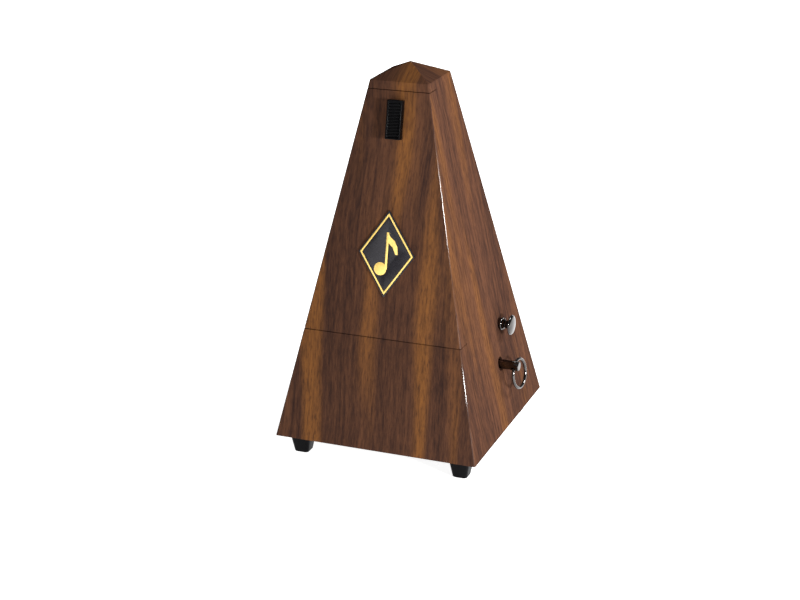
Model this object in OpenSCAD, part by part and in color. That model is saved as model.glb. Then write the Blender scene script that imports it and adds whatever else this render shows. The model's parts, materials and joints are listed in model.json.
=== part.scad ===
// Pyramid metronome with a bell: plastic-skinned wooden-look case, removable front
// cover, wind-up movement, verge pendulum with a sliding weight, and a beat counter
// that rings a bell on every second, third, fourth or sixth beat.
// Frame: +X to the winding key, +Y to the back, +Z up. The origin is the middle of the
// whole footprint, key included, on the surface that the feet stand on.

/* [Case] */
// Width of the case at its bottom edge
base_w = 120; // [110:0.5:130]
// Width of the case at the eaves
eave_w = 34.5; // [32:0.5:38]
// Height of the sloped walls, from the bottom edge to the eaves
wall_h = 200; // [190:1:210]
// Height of the low pointed roof above the eaves
roof_h = 8; // [5:0.5:12]
// Thickness of the case walls, measured level
wall_t = 2.5; // [2:0.1:3]
// How far the corner edges are cut back
edge_cut = 0.5; // [0.3:0.1:1.5]

/* [Feet] */
// Height of a foot
foot_h = 12; // [10:0.5:14]
// Width of a foot at its top
foot_top_w = 12.5; // [11:0.5:14]
// Width of a foot where it meets the surface
foot_tip_w = 8.5; // [7:0.5:10]
// Distance of each foot's centre from the case's middle, along X and along Y
foot_at = 48; // [44:0.5:50]

/* [Front cover] */
// Height of the cover's lower seam above the surface
cover_z0 = 74; // [70:0.5:80]
// Height of the cover's upper seam above the surface
cover_z1 = 207.6; // [200:0.2:208]
// Depth of the cover, front to back, measured level
cover_d = 10; // [9:0.5:12]
// Gap left along each seam
seam = 0.4; // [0.2:0.05:0.6]

/* [Badge and latch] */
// Width of the diamond badge
badge_w = 33; // [28:0.5:36]
// Height of the diamond badge, along the slope
badge_l = 48; // [40:0.5:50]
// Height of the badge's centre above the surface
badge_z = 120.4; // [110:0.2:130]
// Width of the latch button
latch_w = 8.6; // [6:0.2:10]
// Length of the latch button, along the slope
latch_l = 21; // [18:0.5:22]
// Ribs across the latch button
latch_ribs = 11; // [7:1:13]

/* [Winding key] */
// Diameter of the key's shaft
key_shaft_d = 5.5; // [5:0.1:5.8]
// How far the key's shaft stands out of the wall
key_out = 11.2; // [10:0.1:13]
// Outer diameter of the key's ring
key_ring_od = 18.3; // [17:0.1:19]
// Diameter of the ring's wire
key_wire_d = 1.7; // [1.5:0.05:1.8]
// Turn of the shaft's cross hole, up from level
key_turn = 38.5; // [0:0.5:60]
// Lean of the hanging ring, away from the wall
key_lean = 10; // [2:1:15]

/* [Bell selector] */
// Diameter of the pull knob's face
knob_d = 11.6; // [10:0.1:13]
// How far the pull knob stands out of the wall
knob_out = 8.8; // [8:0.1:10]

/* [Gear train] */
// Play between meshing teeth, taken off each tooth
gear_play = 0.07; // [0.05:0.01:0.1]

/* [Pendulum] */
// Width of the pendulum rod
rod_w = 3; // [2.5:0.1:3]
// Thickness of the pendulum rod
rod_t = 0.8; // [0.6:0.1:1]
// Length of the rod above its pivot
rod_up = 144; // [130:1:145]
// Diameter of the fixed bob below the pivot
bob_d = 30; // [28:0.5:30]
// Distance of the bob's centre below the pivot
bob_down = 25; // [25:0.5:26]
// Distance of the sliding weight's centre above the pivot, as it stands now
weight_at = 72; // [40:1:110]

/* [Hidden] */
$fn = 48;

// The case stands this far along X, so that the key's reach is shared between both sides
case_x = -2;

// Case outline
z0 = foot_h;
z_eave = z0 + wall_h;
z_apex = z_eave + roof_h;
slope = (base_w - eave_w) / 2 / wall_h;
lean = atan(slope);
function hw(z) = base_w / 2 - slope * (z - z0);
big = base_w + 20;

// Layers behind the front face, measured square to it
rod_depth = 6;
board_t = 2;
board_depth = cover_d * cos(lean);
scale_t = 0.4;

// Base and fasteners
floor_t = 3;
z_floor = z0 + floor_t;
screw_r = 1.45;
screw_hole_r = 1.5;
head_r = 2.5;
boss_h = 12;
boss_w = 16;
key_hole_r = 4;
bush_r = 2.9;
pin_hole_r = 1.05;

// Teeth of the train: two wheels that drive two pinions, a crown wheel and a ratchet
gear_m = 0.5;
gear_pa = 25;
wheel_teeth = 60;
pinion_teeth = 12;
crown_teeth = 12;
ratchet_teeth = 24;

// Movement, as places in the YZ plane
arbor_gap = gear_m * (wheel_teeth + pinion_teeth) / 2;
train_a = 35.7;
key_at = [5.2, 47];
second_at = key_at + arbor_gap * [-cos(train_a), -sin(train_a)];
escape_at = second_at + arbor_gap * [-cos(train_a), sin(train_a)];
selector_at = [15.3, 67.5];
plate_x = 20;
plate_t = 1.5;
arbor_r = 1;
wind_r = 2;
fit = 0.05;
selector_r = 1.5;
great_x = 14;
second_x = 7;
crown_x = 1.8;
crown_r = 7;
crown_l = 3.7;
cam_x = -14;
cam_r = 3.6;
cam_lobe = 0.9;
cam_lobes = [12, 8, 6, 4];
stop_pitch = 3;
pillar_at = [[-31, 19], [14, 19], [-31, 60], [0, 71]];

// Verge: its axis runs square to the front face, through the point verge_mid
verge_mid = [0, escape_at[0], 52];
verge_r = 0.8;
function depth_of(y, z) = cos(lean) * (y + base_w / 2) - sin(lean) * (z - z0);
verge_depth = depth_of(verge_mid[1], verge_mid[2]);
pivot_back = verge_depth - rod_depth;

// Bell and hammer
bell_r = 14;
bell_t = 1.2;
bell_l = 21;
hammer_x = -17;
hammer_r = 2.5;
hammer_down = 20;
bell_gap = 0.6;
bell_at = [selector_at[0] + hammer_r + bell_gap + bell_r, 45];
bell_x = -24;

// ---- Helpers -------------------------------------------------------------------

// Puts a sub-part where the case stands
module placed() translate([case_x, 0, 0]) children();
// Stands a flat outline in the YZ plane and gives it a thickness along +X
module yz(x, t) translate([x, 0, 0]) rotate([90, 0, 90]) linear_extrude(t) children();
// A round bar along +X, at a place in the YZ plane
module bar(at, x, l, r) translate([x, at[0], at[1]]) rotate([0, 90, 0]) cylinder(h = l, r = r);
function polar(r, a) = r * [cos(a), sin(a)];

// The case's outline from one side, drawn in by a level distance and let down by drop
module side_outline(inset, drop = 0) polygon([
    [-hw(z0 - drop) + inset, z0 - drop], [hw(z0 - drop) - inset, z0 - drop],
    [eave_w / 2 - inset, z_eave], [0, z_apex - inset * 2 * roof_h / eave_w],
    [-eave_w / 2 + inset, z_eave]
]);
// The same outline seen across the corners, with the corner edges cut back
module corner_outline(cut) {
    s = sqrt(2);
    polygon([
        [-base_w / s + cut, z0], [base_w / s - cut, z0],
        [eave_w / s - cut, z_eave], [eave_w / s - cut, z_apex + 1],
        [-eave_w / s + cut, z_apex + 1], [-eave_w / s + cut, z_eave]
    ]);
}
module prism_of(turn) rotate([90, 0, turn]) linear_extrude(2 * big, center = true) children();
// The whole pyramid, drawn in by inset
module pyramid(inset, cut = 0, drop = 0) intersection() {
    prism_of(0) side_outline(inset, drop);
    prism_of(90) side_outline(inset, drop);
    if (cut > 0) prism_of(45) corner_outline(cut);
    if (cut > 0) prism_of(-45) corner_outline(cut);
}
// A layer parallel to the front face, between two level depths and two heights
module front_layer(d0, d1, za, zb) yz(-big / 2, big) polygon([
    [-hw(za) + d0, za], [-hw(za) + d1, za], [-hw(zb) + d1, zb], [-hw(zb) + d0, zb]
]);
// Places children on the front face: x across, y up the slope, z outwards
module on_face(z) translate([0, -hw(z), z]) rotate([90 - lean, 0, 0]) children();
// Places children at the pendulum's pivot: x across, y up the rod, z to the front
module on_rod(up = 0) translate(verge_mid) rotate([90 - lean, 0, 0])
    translate([0, up, pivot_back]) children();
// Places children on the verge's axis, z to the front, from the middle of the verge
module on_verge(front = 0) translate(verge_mid) rotate([90 - lean, 0, 0])
    translate([0, 0, front]) children();

// Involute gear outline, with one tooth on the first axis
function inv(a) = tan(a) * 180 / PI - a;
function half_tooth(n, r) = let (rp = gear_m * n / 2, rb = rp * cos(gear_pa))
    (PI * gear_m / 2 - gear_play) / rp * 90 / PI + inv(gear_pa) - inv(acos(min(1, rb / max(r, rb))));
module gear_outline(n) {
    rp = gear_m * n / 2;
    root = rp - 1.15 * gear_m;
    tip = rp + 0.9 * gear_m;
    flank = max(root, rp * cos(gear_pa));
    radii = [root, flank, (flank + tip) / 2, (flank + 3 * tip) / 4, tip];
    polygon([
        for (i = [0:n - 1]) let (a = i * 360 / n) each concat(
            [for (r = radii) polar(r, a - half_tooth(n, r))],
            [for (k = [4:-1:0]) polar(radii[k], a + half_tooth(n, radii[k]))]
        )
    ]);
}
module gear(at, x, t, n, turn, bore) difference() {
    translate([0, at[0], at[1]]) yz(x, t) rotate(turn) gear_outline(n);
    bar(at, x - 1, t + 2, bore);
}

// ---- Case ----------------------------------------------------------------------

module case_shell() color([0.36, 0.24, 0.18]) placed() {
    rib_d = 2;
    board_back = cover_d + board_t;
    difference() {
        union() {
            difference() {
                pyramid(0, edge_cut);
                pyramid(wall_t, 0, 5);
            }
            // Shelf under the front cover
            intersection() {
                pyramid(1);
                front_layer(1, board_back + rib_d, cover_z0 - 2.5, cover_z0);
            }
            // Shelf over the front cover
            intersection() {
                pyramid(1);
                front_layer(cover_d - 1.5, board_back - 0.5, cover_z1 - 1.5, cover_z1 + 1);
            }
            // Ribs that the scale board rests on
            difference() {
                intersection() {
                    pyramid(wall_t - 0.5);
                    front_layer(board_back, board_back + rib_d - 0.5, cover_z0 - 1, cover_z1 - 6);
                }
                pyramid(wall_t + 3.2);
            }
            // Corner blocks that the foot screws hold
            intersection() {
                pyramid(1);
                for (x = [-1, 1], y = [-1, 1])
                    translate([x * (foot_at + 4), y * (foot_at + 4), z_floor + boss_h / 2])
                        cube([boss_w, boss_w, boss_h], center = true);
            }
        }
        // Room for the front cover
        front_layer(-5, cover_d, cover_z0, cover_z1);
        // Pendulum slot through the shelf
        on_rod(cover_z0 - verge_mid[2] - 8) cube([30, 16, 4.4], center = true);
        // Room for the latch tongue under the roof
        front_layer_slot(3, cover_d - 1, cover_z1 - 3, cover_z1 + 2.2, 7);
        // Holes that locate the cover's pegs
        for (x = [-1, 1]) cover_peg(x, 0.15, 4);
        // Key and selector holes in the right wall
        bar(key_at, base_w / 4, base_w / 2, key_hole_r);
        bar(selector_at, base_w / 4, base_w / 2, bush_r + 0.2);
        // Screw holes
        for (x = [-1, 1], y = [-1, 1]) translate([x * foot_at, y * foot_at, z_floor - 1])
            cylinder(h = boss_h - 1, r = screw_hole_r);
        board_screw_places() translate([0, 0, -2.9]) cylinder(h = 5, r = 0.85);
    }
}
// A slot of a given width through layers behind the front face
module front_layer_slot(d0, d1, za, zb, w) intersection() {
    front_layer(d0, d1, za, zb);
    translate([-w / 2, -big / 2, za - 1]) cube([w, big, zb - za + 2]);
}
// Peg on the back edge of the cover's side, pointing back
module cover_peg(side, play, l) {
    z = cover_z0 + 8;
    translate([side * (hw(z) - wall_t / 2), -hw(z) + cover_d - 2 + (play > 0 ? 1.9 : 0), z])
        rotate([-90, 0, 0]) cylinder(h = l + (play > 0 ? 0.3 : 2), r = 0.7 + play, $fn = 24);
}
module board_screw_places() for (z = [cover_z0 + 8, cover_z1 - 12], x = [-1, 1])
    on_face(z) translate([x * (hw(z) - wall_t - 1.9), 0, -board_depth]) children();

module base_plate() color([0.16, 0.15, 0.16]) placed() {
    slot_w = 2.4;
    slot_l = 26;
    difference() {
        intersection() {
            pyramid(wall_t + 0.1);
            translate([0, 0, z0 + floor_t / 2]) cube([big, big, floor_t], center = true);
        }
        for (x = [-1, 1], y = [-1, 1]) translate([x * foot_at, y * foot_at, z0 - 1])
            cylinder(h = floor_t + 2, r = screw_hole_r + 0.2);
        // Slots that let the sound out
        for (i = [-2:2]) translate([i * 6.5, -8, z0 + floor_t / 2])
            cube([slot_w, slot_l, floor_t + 2], center = true);
        plate_screw_places() cylinder(h = 8, r = 0.95, center = true, $fn = 24);
        stand_screw_place() cylinder(h = 8, r = 0.95, center = true, $fn = 24);
    }
}

module foot(x, y) color([0.09, 0.09, 0.1]) placed() translate([x * foot_at, y * foot_at, 0]) difference() {
    corner = 2;
    hull() for (i = [-1, 1], j = [-1, 1]) {
        translate([i * (foot_top_w / 2 - corner), j * (foot_top_w / 2 - corner), foot_h - 1])
            cylinder(h = 1, r = corner, $fn = 32);
        translate([i * (foot_tip_w / 2 - corner), j * (foot_tip_w / 2 - corner), 0])
            cylinder(h = 1.2, r1 = corner - 0.7, r2 = corner, $fn = 32);
    }
    translate([0, 0, -1]) cylinder(h = 5, r = head_r + 0.2);
    translate([0, 0, -1]) cylinder(h = foot_h + 2, r = screw_hole_r + 0.2);
}
module foot_front_left() foot(-1, -1);
module foot_front_right() foot(1, -1);
module foot_rear_left() foot(-1, 1);
module foot_rear_right() foot(1, 1);
module foot_screws() color("silver") placed() for (x = [-1, 1], y = [-1, 1])
    translate([x * foot_at, y * foot_at, 0]) difference() {
        union() {
            translate([0, 0, 1.6]) cylinder(h = 2.4, r = head_r);
            translate([0, 0, 3]) cylinder(h = z_floor + 7 - 3, r = screw_r);
        }
        translate([0, 0, 2]) cube([0.8, 7, 1.6], center = true);
    }

// ---- Scale board ---------------------------------------------------------------

module scale_board() color([0.85, 0.8, 0.66]) placed() difference() {
    intersection() {
        pyramid(wall_t + 0.15);
        front_layer(cover_d + 0.05, cover_d + board_t - 0.05, cover_z0 + 0.1, cover_z1 - 1.6);
    }
    board_screw_places() cylinder(h = 8, r = 1, center = true, $fn = 24);
}
module board_screws() color("silver") placed() board_screw_places() {
    cylinder(h = 0.6, r = 1.5, $fn = 24);
    translate([0, 0, -2.6]) cylinder(h = 2.7, r = 0.8, $fn = 24);
}
scale_za = cover_z0 + 10;
scale_zb = cover_z1 - 20;
module tempo_scale() color([0.8, 0.78, 0.74]) placed() {
    l = (scale_zb - scale_za) / cos(lean);
    on_face(scale_za) translate([0, 0, -board_depth + 0.06]) linear_extrude(scale_t)
        polygon([[-15, 0], [15, 0], [9.5, l], [-9.5, l]]);
}
module rod_clip() color("gold") placed() on_face(cover_z1 - 14) translate([0, 0, -board_depth + 0.06])
    difference() {
        translate([-4, 0, 0]) cube([8, 5, 2.9]);
        translate([-rod_w / 2 - 0.2, -1, 0.8]) cube([rod_w + 0.4, 7, 3]);
        for (x = [-1, 1]) translate([x * 4.2 - 1, -1, 0.8]) cube([2, 7, 3]);
    }

// ---- Front cover ---------------------------------------------------------------

neck_w = 4;
neck_l = 6;
latch_travel = 4;
latch_z = 192.2;
latch_proud = 4.6;
tongue_depth = 3.1;
tongue_t = 0.6;
module front_cover() color([0.3, 0.19, 0.14]) placed() difference() {
    union() {
        difference() {
            intersection() {
                pyramid(0, edge_cut);
                front_layer(-1, cover_d - seam / 2, cover_z0 + seam, cover_z1 - seam);
            }
            intersection() {
                pyramid(wall_t);
                front_layer(wall_t, cover_d + 1, cover_z0 - 1, cover_z1 - 2);
            }
        }
        for (x = [-1, 1]) cover_peg(x, 0, 3);
    }
    // Slot for the latch's neck, and a notch for its tongue
    on_face(latch_z) translate([-neck_w / 2 - 0.1, -neck_l / 2 - latch_travel - 0.2, -4])
        cube([neck_w + 0.2, neck_l + latch_travel + 0.4, 6]);
    front_layer_slot(wall_t - 0.1, cover_d + 1, cover_z1 - 5, cover_z1 + 1, 6);
}
border_out = 1;
border_in = 2.1;
module badge_outline(inset) {
    k = (badge_w / 2 - inset) / (badge_w / 2);
    polygon([[k * badge_w / 2, 0], [0, k * badge_l / 2], [-k * badge_w / 2, 0], [0, -k * badge_l / 2]]);
}
module badge_plate() color([0.1, 0.09, 0.11]) placed() on_face(badge_z) difference() {
    translate([0, 0, 0.02]) linear_extrude(0.9) badge_outline(0);
    translate([0, 0, 0.62]) linear_extrude(1) difference() {
        badge_outline(border_out);
        badge_outline(border_in);
    }
    translate([0, 0, 0.62]) linear_extrude(1) note_outline(0.02);
}
// A plain eighth note: a round head, a stem and one flag
note_head_r = 3.6;
note_head_at = [-3.1, -8.4];
note_stem_w = 1.3;
note_stem_l = 20.4;
module note_outline(play) {
    translate(note_head_at) circle(r = note_head_r + play);
    translate([-0.5 - play, note_head_at[1]]) square([note_stem_w + 2 * play, note_stem_l + play]);
    polygon([[0.2, 12 + play], [0.2, 6.7 - play], [3.4, 4.1], [5.2 - play, 0.2], [6.5 + play, 0.2],
        [6.2 + play, 4.3], [4.3, 7.7], [1.7, 9.6]]);
}
module badge_trim() color([0.9, 0.74, 0.4]) placed() on_face(badge_z) {
    translate([0, 0, 0.63]) linear_extrude(0.35) difference() {
        badge_outline(border_out + 0.02);
        badge_outline(border_in - 0.02);
    }
    translate([0, 0, 0.63]) linear_extrude(0.35) note_outline(0);
}
module cover_latch() color([0.08, 0.08, 0.09]) placed() on_face(latch_z) {
    pitch = latch_l / (latch_ribs + 0.4);
    difference() {
        translate([-latch_w / 2, -latch_l / 2, 0.1]) cube([latch_w, latch_l, latch_proud - 0.1]);
        for (i = [0:latch_ribs - 1])
            translate([-latch_w, (i - (latch_ribs - 1) / 2) * pitch + pitch / 2, latch_proud])
                rotate([0, 90, 0]) cylinder(h = 2 * latch_w, r = 0.55, $fn = 16);
    }
    translate([-neck_w / 2, -neck_l / 2, -tongue_depth]) cube([neck_w, neck_l, tongue_depth + 0.2]);
}
module latch_tongue() color("silver") placed() on_face(latch_z) {
    l = 18.4;
    translate([-2.4, -neck_l / 2, -tongue_depth - tongue_t]) cube([4.8, l + neck_l / 2, tongue_t]);
}
module latch_spring() color("silver") placed() on_face(latch_z)
    translate([0, -neck_l / 2 - latch_travel - 0.15, -1.2]) rotate([-90, 0, 0])
        difference() {
            cylinder(h = latch_travel + 0.1, r = 1, $fn = 24);
            translate([0, 0, -1]) cylinder(h = latch_travel + 2, r = 0.6, $fn = 24);
        }

// ---- Movement frame ------------------------------------------------------------

module plate_outline() polygon([
    [-36, z_floor], [17, z_floor], [17, 61.5], [20, 63], [20, 75], [-4, 75], [-36, 64]
]);
// Two screw places on the foot of each movement plate
plate_foot_at = [-22, 6];
module plate_screw_places() for (side = [-1, 1], y = plate_foot_at)
    translate([side * (plate_x + plate_t + 3.5), y, z_floor]) children();
module stand_screw_place() translate([bell_x - 2 - 7, bell_at[0], z_floor]) children();

module movement_plate(side) color([0.8, 0.66, 0.32]) placed() difference() {
    union() {
        yz(side > 0 ? plate_x : -plate_x - plate_t, plate_t) plate_outline();
        for (y = plate_foot_at) translate([side * (plate_x + plate_t / 2 + 3.5), y, z_floor + 0.75])
            cube([7 + plate_t, 9, 1.5], center = true);
    }
    bar(key_at, -big / 2, big, wind_r + fit);
    bar(second_at, -big / 2, big, arbor_r + fit);
    bar(escape_at, -big / 2, big, arbor_r + fit);
    bar(selector_at, -big / 2, big, selector_r + fit);
    for (p = pillar_at) bar(p, -big / 2, big, pin_hole_r);
    plate_screw_places() cylinder(h = 8, r = 1.1, center = true, $fn = 24);
    // Window that saves metal, clear of every arbor
    yz(-big / 2, big) translate([-18, 20]) square([26, 7]);
}
module movement_plate_left() movement_plate(-1);
module movement_plate_right() movement_plate(1);
module plate_pillars() color("silver") placed() for (p = pillar_at) {
    bar(p, -plate_x, 2 * plate_x, 2);
    for (side = [-1, 1]) bar(p, side > 0 ? plate_x - 1 : -plate_x - plate_t - 2, plate_t + 3, 1);
}
module plate_nuts() color("gold") placed() for (p = pillar_at, side = [-1, 1]) difference() {
    translate([side * (plate_x + plate_t + 0.8), p[0], p[1]]) rotate([0, 90, 0])
        cylinder(h = 1.6, r = 2.2, center = true, $fn = 6);
    bar(p, -big / 2, big, 1);
}
module movement_screws() color("silver") placed() plate_screw_places() {
    translate([0, 0, 1.5]) cylinder(h = 1.2, r = 2, $fn = 32);
    translate([0, 0, -2.6]) cylinder(h = 4.2, r = 0.9, $fn = 24);
}
cock_w = 6;
cock_t = 2;
// Front bearing of the verge, a bar across the two plates
module verge_bar() color([0.8, 0.66, 0.32]) placed() difference() {
    on_verge(8.5) translate([-plate_x + 0.01, -cock_w / 2, 0]) cube([2 * plate_x - 0.02, cock_w, cock_t]);
    on_verge(8) cylinder(h = 4, r = verge_r + fit);
}
// Rear bearing of the verge, a bracket on the left plate
module verge_cock() color([0.8, 0.66, 0.32]) placed() difference() {
    on_verge(-10) translate([-plate_x + 0.01, -cock_w / 2, 0]) cube([plate_x + 3, cock_w, cock_t]);
    on_verge(-11) cylinder(h = 4, r = verge_r + fit);
}

// ---- Winding and train ---------------------------------------------------------

wall_x = hw(key_at[1]);
ring_x = wall_x + key_out - 3.1;
key_x = plate_x + plate_t + 1.5;
ring_r = (key_ring_od - key_wire_d) / 2;
cross_r = 1.5;
great_t = 2;
ratchet_x = great_x + great_t + 0.3;
ratchet_r = 6.5;
ratchet_t = 1.5;

module winding_arbor() color("silver") placed() {
    bar(key_at, -plate_x - plate_t - 1, plate_x + plate_t + 1 + key_x + 1, wind_r);
    translate([9.6, key_at[0] + wind_r - 0.3, key_at[1] - 0.4]) cube([3.6, 0.8, 0.8]);
}
// Shaft with a cross hole for the ring, pressed on the arbor
module winding_key() color([0.85, 0.85, 0.87]) placed() difference() {
    union() {
        bar(key_at, key_x, wall_x + key_out - 0.4 - key_x, key_shaft_d / 2);
        translate([wall_x + key_out - 0.4, key_at[0], key_at[1]]) rotate([0, 90, 0])
            cylinder(h = 0.4, r1 = key_shaft_d / 2, r2 = key_shaft_d / 2 - 0.4);
    }
    bar(key_at, key_x - 1, 2.01, wind_r);
    translate([ring_x, key_at[0], key_at[1]]) rotate([key_turn, 0, 0]) rotate([90, 0, 0])
        cylinder(h = 10, r = cross_r, center = true);
}
module key_ring() color([0.85, 0.85, 0.87]) placed()
    translate([ring_x, key_at[0], key_at[1]]) rotate([key_turn, 0, 0])
        rotate([0, -key_lean, 0]) translate([0, 0, -ring_r]) rotate([0, 90, 0])
            rotate_extrude($fn = 96) translate([ring_r, 0]) circle(d = key_wire_d, $fn = 24);

module ratchet_wheel() color("silver") placed() difference() {
    translate([0, key_at[0], key_at[1]]) yz(ratchet_x, ratchet_t) polygon([
        for (i = [0:ratchet_teeth - 1]) let (a = i * 360 / ratchet_teeth)
            each [polar(ratchet_r - 0.9, a), polar(ratchet_r, a + 360 / ratchet_teeth)]
    ]);
    bar(key_at, ratchet_x - 1, ratchet_t + 2, wind_r);
}
module great_wheel() color([0.85, 0.7, 0.35]) placed()
    gear(key_at, great_x, great_t, wheel_teeth, 180 + train_a, wind_r + fit);

click_pivot = polar(9.6, 38);
module click() color("silver") placed() translate([0, key_at[0], key_at[1]]) yz(ratchet_x, ratchet_t)
    difference() {
        union() {
            polygon([
                polar(5.95, 1.6), polar(6.75, 9), [6.45, 4.6], click_pivot, [8.5, 4.6], polar(7.3, 1.6)
            ]);
            translate(click_pivot) circle(r = 1.6);
        }
        translate(click_pivot) circle(r = 0.85);
    }
module click_screw() color("gold") placed() translate([0, key_at[0], key_at[1]]) {
    yz(great_x + great_t, ratchet_t + 0.5) translate(click_pivot) circle(r = 0.8);
    yz(ratchet_x + ratchet_t + 0.2, 0.7) translate(click_pivot) circle(r = 1.3);
}
module click_spring() color("silver") placed() translate([0, key_at[0], key_at[1]])
    yz(great_x + great_t, ratchet_t) polygon([
        polar(13, 44), polar(13, 40), [9.9, 3.6], [8.4, 2.4], [8.3, 2.7], [9.5, 3.9]
    ]);
// Open spiral spring, from the arbor outwards
spring_turns = 6;
spring_steps = 20;
spring_strip = 0.4;
spring_in = wind_r + 0.15;
spring_out = 12;
spring_last = spring_turns * spring_steps;
function spring_r(i) = spring_in + (spring_out - spring_in) * i / spring_last;
module mainspring() color([0.35, 0.4, 0.5]) placed() translate([0, key_at[0], key_at[1]])
    yz(9.6, 3.6) polygon(concat(
        [for (i = [8:spring_last]) polar(spring_r(i) + spring_strip, i * 360 / spring_steps)],
        [for (i = [spring_last:-1:8]) polar(spring_r(i), i * 360 / spring_steps)]
    ));

module second_wheel() color([0.85, 0.7, 0.35]) placed()
    gear(second_at, second_x, 1.5, wheel_teeth, 180 - train_a, arbor_r);
module second_pinion() color("silver") placed() {
    gear(second_at, great_x - 0.5, 3, pinion_teeth, train_a + 15, arbor_r - 0.2);
    bar(second_at, -plate_x - plate_t, 2 * (plate_x + plate_t), arbor_r);
}
module escape_pinion() color("silver") placed() {
    gear(escape_at, second_x - 0.5, 2.5, pinion_teeth, 360 - train_a + 15, arbor_r - 0.2);
    bar(escape_at, -plate_x - plate_t, 2 * (plate_x + plate_t), arbor_r);
}
// Crown wheel: a cup whose rim is cut into saw teeth that point along -X
module escape_wheel() color([0.85, 0.7, 0.35]) placed() difference() {
    union() {
        difference() {
            bar(escape_at, crown_x, crown_l, crown_r);
            bar(escape_at, crown_x - 1, crown_l, crown_r - 1);
        }
        bar(escape_at, crown_x + 1, crown_l - 1, 2);
    }
    bar(escape_at, crown_x - 1, crown_l + 2, arbor_r);
    gap = 2 * PI * crown_r / crown_teeth;
    for (i = [0:crown_teeth - 1]) translate([crown_x, escape_at[0], escape_at[1]])
        rotate([i * 360 / crown_teeth, 0, 0]) translate([0, 0, crown_r - 2])
            linear_extrude(4) polygon([[-1, -gap * 0.35], [2, gap * 0.5], [-1, gap * 0.52]]);
}
// Four cams side by side, one for each beat count
module beat_cams() color([0.85, 0.7, 0.35]) placed() for (k = [0:len(cam_lobes) - 1]) {
    n = cam_lobes[k];
    x = cam_x + k * stop_pitch - 1;
    difference() {
        translate([0, escape_at[0], escape_at[1]]) yz(x, 2) polygon([
            for (i = [0:n - 1]) let (a = i * 360 / n) each [
                polar(cam_r, a - 9), polar(cam_r + cam_lobe, a), polar(cam_r + cam_lobe, a + 3),
                polar(cam_r, a + 5), if (n < 9) polar(cam_r, a + 180 / n)
            ]
        ]);
        bar(escape_at, x - 1, 4, arbor_r);
    }
}

// ---- Pendulum ------------------------------------------------------------------

module verge() color("silver") placed() {
    on_verge(-11) cylinder(h = pivot_back + 11 - rod_t / 2, r = verge_r);
    on_verge(pivot_back - 2.4) cylinder(h = 2.4 - rod_t / 2, r = 2);
    for (s = [-1, 1]) on_verge(s * 5 - 1) rotate(s * 45) translate([0, -0.25, 0]) cube([1.9, 0.5, 2]);
}
module pendulum_rod() color([0.8, 0.82, 0.85]) placed() on_rod() difference() {
    translate([-rod_w / 2, -bob_down - 8, -rod_t / 2]) cube([rod_w, bob_down + 8 + rod_up, rod_t]);
    for (s = [-1, 1]) translate([s * rod_w / 2, rod_up, -1]) rotate(45) cube(1, center = true);
}
module pendulum_bob() color([0.8, 0.66, 0.32]) placed() on_rod(-bob_down) difference() {
    translate([0, 0, -6.2]) cylinder(h = 9, r = bob_d / 2, $fn = 96);
    translate([-rod_w / 2, -8, -rod_t / 2]) cube([rod_w, bob_d, 5]);
}
weight_h = 16;
weight_t = 4;
module sliding_weight() color([0.75, 0.75, 0.78]) placed() on_rod(weight_at) difference() {
    translate([0, 0, -weight_t / 2]) linear_extrude(weight_t)
        polygon([[-5.5, -weight_h / 2], [5.5, -weight_h / 2], [8, weight_h / 2], [-8, weight_h / 2]]);
    cube([rod_w + 0.1, weight_h + 2, rod_t + 0.1], center = true);
    translate([-1.3, -6, -rod_t / 2 - 0.6]) cube([2.6, 12, 0.7]);
}
module weight_spring() color("gold") placed() on_rod(weight_at) rotate([90, 0, 90])
    linear_extrude(2.4, center = true) polygon([
        [-5.8, -0.98], [-3, -0.85], [0, -0.6], [3, -0.85], [5.8, -0.98],
        [5.8, -0.86], [3, -0.7], [0, -0.46], [-3, -0.7], [-5.8, -0.86]
    ]);

// ---- Bell, hammer and selector -------------------------------------------------

knob_wall_x = hw(selector_at[1]);
module selector_bush() color([0.8, 0.8, 0.82]) placed() difference() {
    union() {
        bar(selector_at, knob_wall_x - 4, 5, bush_r);
        bar(selector_at, knob_wall_x + 0.75, 1.25, 3.6);
    }
    bar(selector_at, 0, big, selector_r + fit);
}
rod_x = -plate_x - 14;
module selector_rod() color("silver") placed()
    bar(selector_at, rod_x, knob_wall_x + 4 - rod_x, selector_r);
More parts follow.
